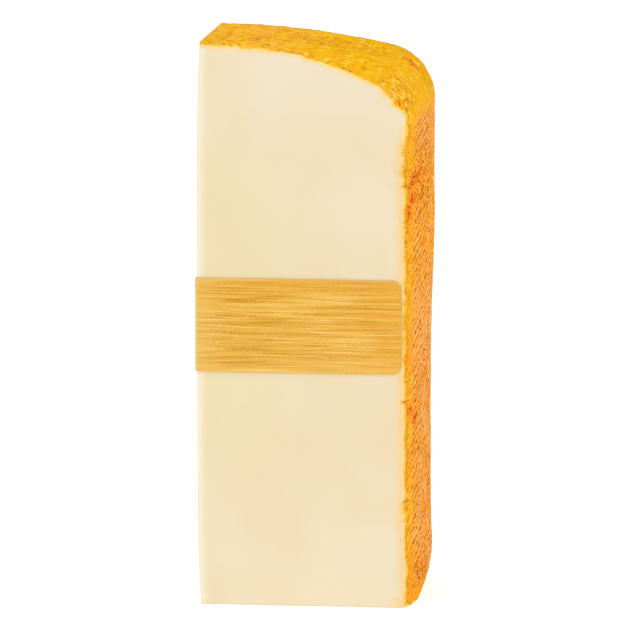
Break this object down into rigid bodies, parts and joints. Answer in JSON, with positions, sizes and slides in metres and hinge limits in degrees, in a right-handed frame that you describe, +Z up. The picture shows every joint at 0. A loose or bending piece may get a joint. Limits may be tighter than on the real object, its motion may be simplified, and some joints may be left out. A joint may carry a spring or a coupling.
{
  "type": "cheese loaf piece",
  "caption": "Tall upright piece cut from a loaf of semi-soft cheese, with pale cut faces, orange cloth-printed rind on its domed top and a side, and a plain wood-grain paper band.",
  "frame": {"origin": "under the middle of the piece's box, on the flat cut bottom it stands on", "axes": "+Z up along the piece's length, +X towards the side with rind, -Y out of the front cut face"},
  "size_m": [0.0568, 0.0428, 0.1412],
  "materials": {
    "paste": "smooth moist ivory cut cheese, satin; the dyed rind on the top and one side is orange and cloth-printed",
    "band_paper": "coated paper printed with a golden wood grain, satin"
  },
  "bodies": {
    "root": {"cheese": "paste", "band": "band_paper"}
  },
  "joints": []
}
